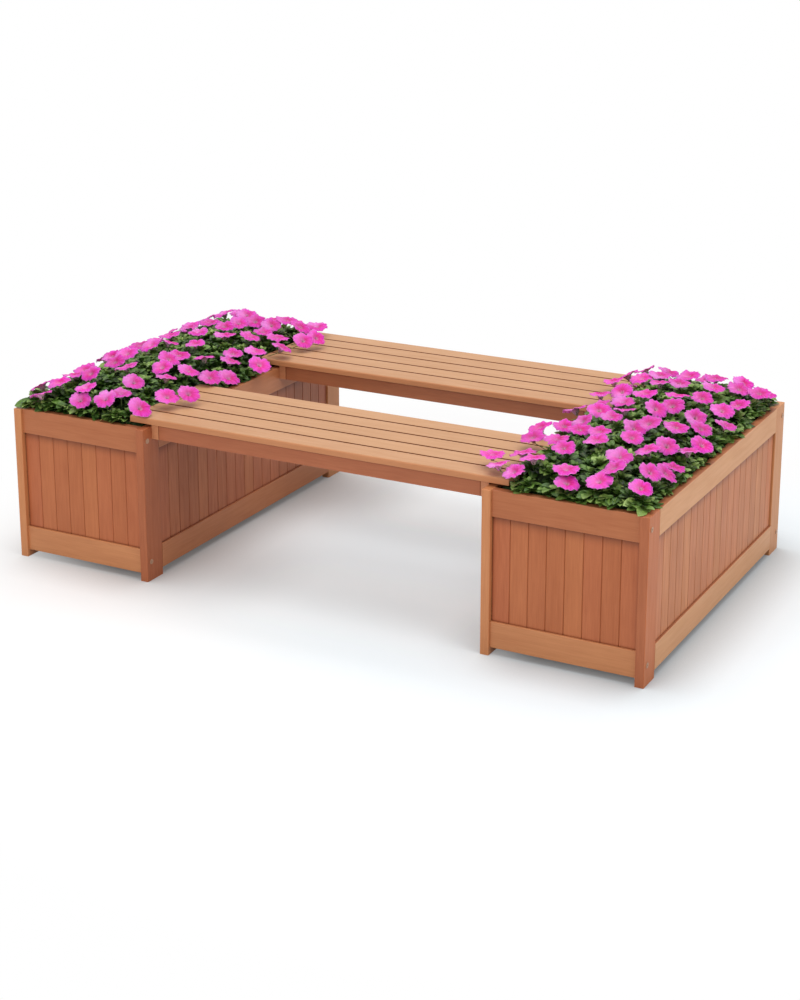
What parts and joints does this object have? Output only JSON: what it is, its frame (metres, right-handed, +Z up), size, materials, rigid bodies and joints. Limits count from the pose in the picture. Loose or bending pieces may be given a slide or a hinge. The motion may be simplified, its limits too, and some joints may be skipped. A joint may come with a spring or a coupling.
{
  "type": "bench with planter",
  "caption": "Low slatted wooden benches bolted between panelled wooden planter boxes full of flowering plants, around an open middle.",
  "frame": {"origin": "on the ground, at the middle of the footprint", "axes": "+X along the benches from the left planter to the right one, +Y from front to rear along the planters, +Z up"},
  "size_m": [1.7262, 0.9751, 0.4971],
  "materials": {
    "stained_wood": "reddish-brown oiled softwood, satin",
    "seat_wood": "reddish-brown oiled softwood, satin, paler on top",
    "zinc_steel": "zinc plated",
    "liner_felt": "black needled felt",
    "potting_soil": "damp crumbly potting mix",
    "leaves": "soft matt leaves",
    "petals": "soft matt petals"
  },
  "bodies": {
    "root": {"barrel_nuts": "zinc_steel", "bearer_screws": "zinc_steel", "corner_bolts": "zinc_steel", "front_seat_aprons": "stained_wood", "front_seat_left_rail": "stained_wood", "front_seat_middle_rail": "stained_wood", "front_seat_right_rail": "stained_wood", "front_seat_slats": "seat_wood", "left_blooms": "petals", "left_floor_bearers": "stained_wood", "left_floor_slats": "stained_wood", "left_foliage": "leaves", "left_front_boards": "stained_wood", "left_front_bottom_rail": "stained_wood", "left_front_inner_leg": "stained_wood", "left_front_outer_leg": "stained_wood", "left_front_top_rail": "stained_wood", "left_inner_boards": "stained_wood", "left_inner_bottom_rail": "stained_wood", "left_inner_top_rail": "stained_wood", "left_liner": "liner_felt", "left_outer_boards": "stained_wood", "left_outer_bottom_rail": "stained_wood", "left_outer_top_rail": "stained_wood", "left_rear_boards": "stained_wood", "left_rear_bottom_rail": "stained_wood", "left_rear_inner_leg": "stained_wood", "left_rear_outer_leg": "stained_wood", "left_rear_top_rail": "stained_wood", "left_soil": "potting_soil", "rear_seat_aprons": "stained_wood", "rear_seat_left_rail": "stained_wood", "rear_seat_middle_rail": "stained_wood", "rear_seat_right_rail": "stained_wood", "rear_seat_slats": "seat_wood", "right_blooms": "petals", "right_floor_bearers": "stained_wood", "right_floor_slats": "stained_wood", "right_foliage": "leaves", "right_front_boards": "stained_wood", "right_front_bottom_rail": "stained_wood", "right_front_inner_leg": "stained_wood", "right_front_outer_leg": "stained_wood", "right_front_top_rail": "stained_wood", "right_inner_boards": "stained_wood", "right_inner_bottom_rail": "stained_wood", "right_inner_top_rail": "stained_wood", "right_liner": "liner_felt", "right_outer_boards": "stained_wood", "right_outer_bottom_rail": "stained_wood", "right_outer_top_rail": "stained_wood", "right_rear_boards": "stained_wood", "right_rear_bottom_rail": "stained_wood", "right_rear_inner_leg": "stained_wood", "right_rear_outer_leg": "stained_wood", "right_rear_top_rail": "stained_wood", "right_soil": "potting_soil", "seat_bolts": "zinc_steel", "slat_screws": "zinc_steel"}
  },
  "joints": []
}
